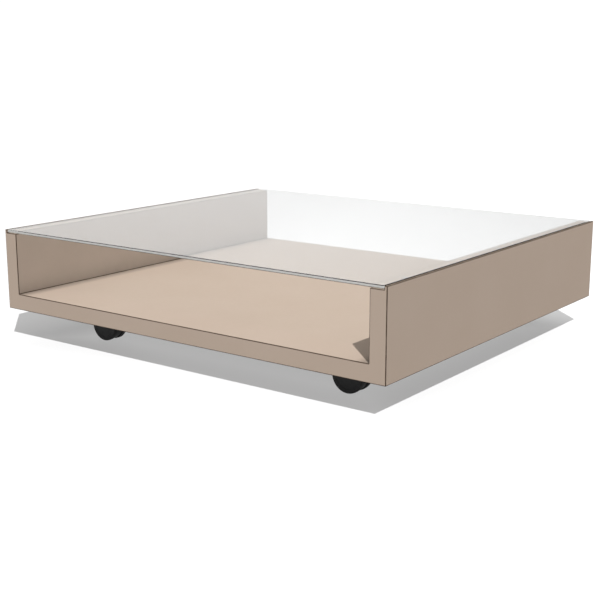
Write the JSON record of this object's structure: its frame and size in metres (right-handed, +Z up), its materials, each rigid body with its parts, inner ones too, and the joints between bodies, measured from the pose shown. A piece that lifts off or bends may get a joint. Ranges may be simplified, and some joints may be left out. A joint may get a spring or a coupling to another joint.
{
  "type": "under bed box",
  "caption": "Low rolling under-bed box: plain thick board base and sides, open at both ends, clear glass top in rebates, black twin-wheel swivel casters.",
  "frame": {"origin": "on the floor under the middle of the box", "axes": "+X along the long side to the right, +Y from the front opening to the back opening, +Z up"},
  "size_m": [0.84, 0.75, 0.212],
  "materials": {
    "board": "warm beige matt lacquer on fibreboard",
    "glass": "clear float glass with polished edges",
    "clear_pad": "clear soft polyurethane",
    "beech": "bare fluted beech",
    "die_cast": "die-cast zinc alloy",
    "zinc_steel": "zinc-plated steel",
    "bright_steel": "turned bright steel",
    "caster_plastic": "black moulded nylon, fine spark texture",
    "wheel_plastic": "black moulded nylon, satin",
    "tread_rubber": "black soft tread"
  },
  "bodies": {
    "box": {"base_panel": "board", "left_side_panel": "board", "right_side_panel": "board", "glass_pads_left": "clear_pad", "dowels_left": "beech", "cam_bolts_left": "zinc_steel", "cam_locks_left": "die_cast", "glass_pads_right": "clear_pad", "dowels_right": "beech", "cam_bolts_right": "zinc_steel", "cam_locks_right": "die_cast", "front_left_socket": "zinc_steel", "front_left_stem": "bright_steel", "front_left_stem_ring": "bright_steel", "front_right_socket": "zinc_steel", "front_right_stem": "bright_steel", "front_right_stem_ring": "bright_steel", "rear_left_socket": "zinc_steel", "rear_left_stem": "bright_steel", "rear_left_stem_ring": "bright_steel", "rear_right_socket": "zinc_steel", "rear_right_stem": "bright_steel", "rear_right_stem_ring": "bright_steel"},
    "glass": {"glass_top": "glass"},
    "front_left_caster": {"front_left_swivel_body": "caster_plastic", "front_left_axle": "bright_steel"},
    "front_left_outer_wheel": {"front_left_outer_wheel": "wheel_plastic", "front_left_outer_tread": "tread_rubber"},
    "front_left_inner_wheel": {"front_left_inner_wheel": "wheel_plastic", "front_left_inner_tread": "tread_rubber"},
    "front_right_caster": {"front_right_swivel_body": "caster_plastic", "front_right_axle": "bright_steel"},
    "front_right_outer_wheel": {"front_right_outer_wheel": "wheel_plastic", "front_right_outer_tread": "tread_rubber"},
    "front_right_inner_wheel": {"front_right_inner_wheel": "wheel_plastic", "front_right_inner_tread": "tread_rubber"},
    "rear_left_caster": {"rear_left_swivel_body": "caster_plastic", "rear_left_axle": "bright_steel"},
    "rear_left_outer_wheel": {"rear_left_outer_wheel": "wheel_plastic", "rear_left_outer_tread": "tread_rubber"},
    "rear_left_inner_wheel": {"rear_left_inner_wheel": "wheel_plastic", "rear_left_inner_tread": "tread_rubber"},
    "rear_right_caster": {"rear_right_swivel_body": "caster_plastic", "rear_right_axle": "bright_steel"},
    "rear_right_outer_wheel": {"rear_right_outer_wheel": "wheel_plastic", "rear_right_outer_tread": "tread_rubber"},
    "rear_right_inner_wheel": {"rear_right_inner_wheel": "wheel_plastic", "rear_right_inner_tread": "tread_rubber"}
  },
  "joints": [
    {"name": "glass_lift", "type": "slide", "parent": "box", "child": "glass", "axis": [0, 0, 1], "range_m": [0, 0.06]},
    {"name": "front_left_swivel", "type": "hinge", "parent": "box", "child": "front_left_caster", "pos_m": [-0.278, -0.259, 0.0597], "axis": [0, 0, 1], "continuous": true},
    {"name": "front_left_outer_roll", "type": "hinge", "parent": "front_left_caster", "child": "front_left_outer_wheel", "pos_m": [-0.272, -0.259, 0.03], "axis": [0, 1, 0], "continuous": true},
    {"name": "front_left_inner_roll", "type": "hinge", "parent": "front_left_caster", "child": "front_left_inner_wheel", "pos_m": [-0.272, -0.259, 0.03], "axis": [0, 1, 0], "continuous": true},
    {"name": "front_right_swivel", "type": "hinge", "parent": "box", "child": "front_right_caster", "pos_m": [0.278, -0.259, 0.0597], "axis": [0, 0, 1], "continuous": true},
    {"name": "front_right_outer_roll", "type": "hinge", "parent": "front_right_caster", "child": "front_right_outer_wheel", "pos_m": [0.284, -0.259, 0.03], "axis": [0, 1, 0], "continuous": true},
    {"name": "front_right_inner_roll", "type": "hinge", "parent": "front_right_caster", "child": "front_right_inner_wheel", "pos_m": [0.284, -0.259, 0.03], "axis": [0, 1, 0], "continuous": true},
    {"name": "rear_left_swivel", "type": "hinge", "parent": "box", "child": "rear_left_caster", "pos_m": [-0.278, 0.259, 0.0597], "axis": [0, 0, 1], "continuous": true},
    {"name": "rear_left_outer_roll", "type": "hinge", "parent": "rear_left_caster", "child": "rear_left_outer_wheel", "pos_m": [-0.272, 0.259, 0.03], "axis": [0, 1, 0], "continuous": true},
    {"name": "rear_left_inner_roll", "type": "hinge", "parent": "rear_left_caster", "child": "rear_left_inner_wheel", "pos_m": [-0.272, 0.259, 0.03], "axis": [0, 1, 0], "continuous": true},
    {"name": "rear_right_swivel", "type": "hinge", "parent": "box", "child": "rear_right_caster", "pos_m": [0.278, 0.259, 0.0597], "axis": [0, 0, 1], "continuous": true},
    {"name": "rear_right_outer_roll", "type": "hinge", "parent": "rear_right_caster", "child": "rear_right_outer_wheel", "pos_m": [0.284, 0.259, 0.03], "axis": [0, 1, 0], "continuous": true},
    {"name": "rear_right_inner_roll", "type": "hinge", "parent": "rear_right_caster", "child": "rear_right_inner_wheel", "pos_m": [0.284, 0.259, 0.03], "axis": [0, 1, 0], "continuous": true}
  ]
}
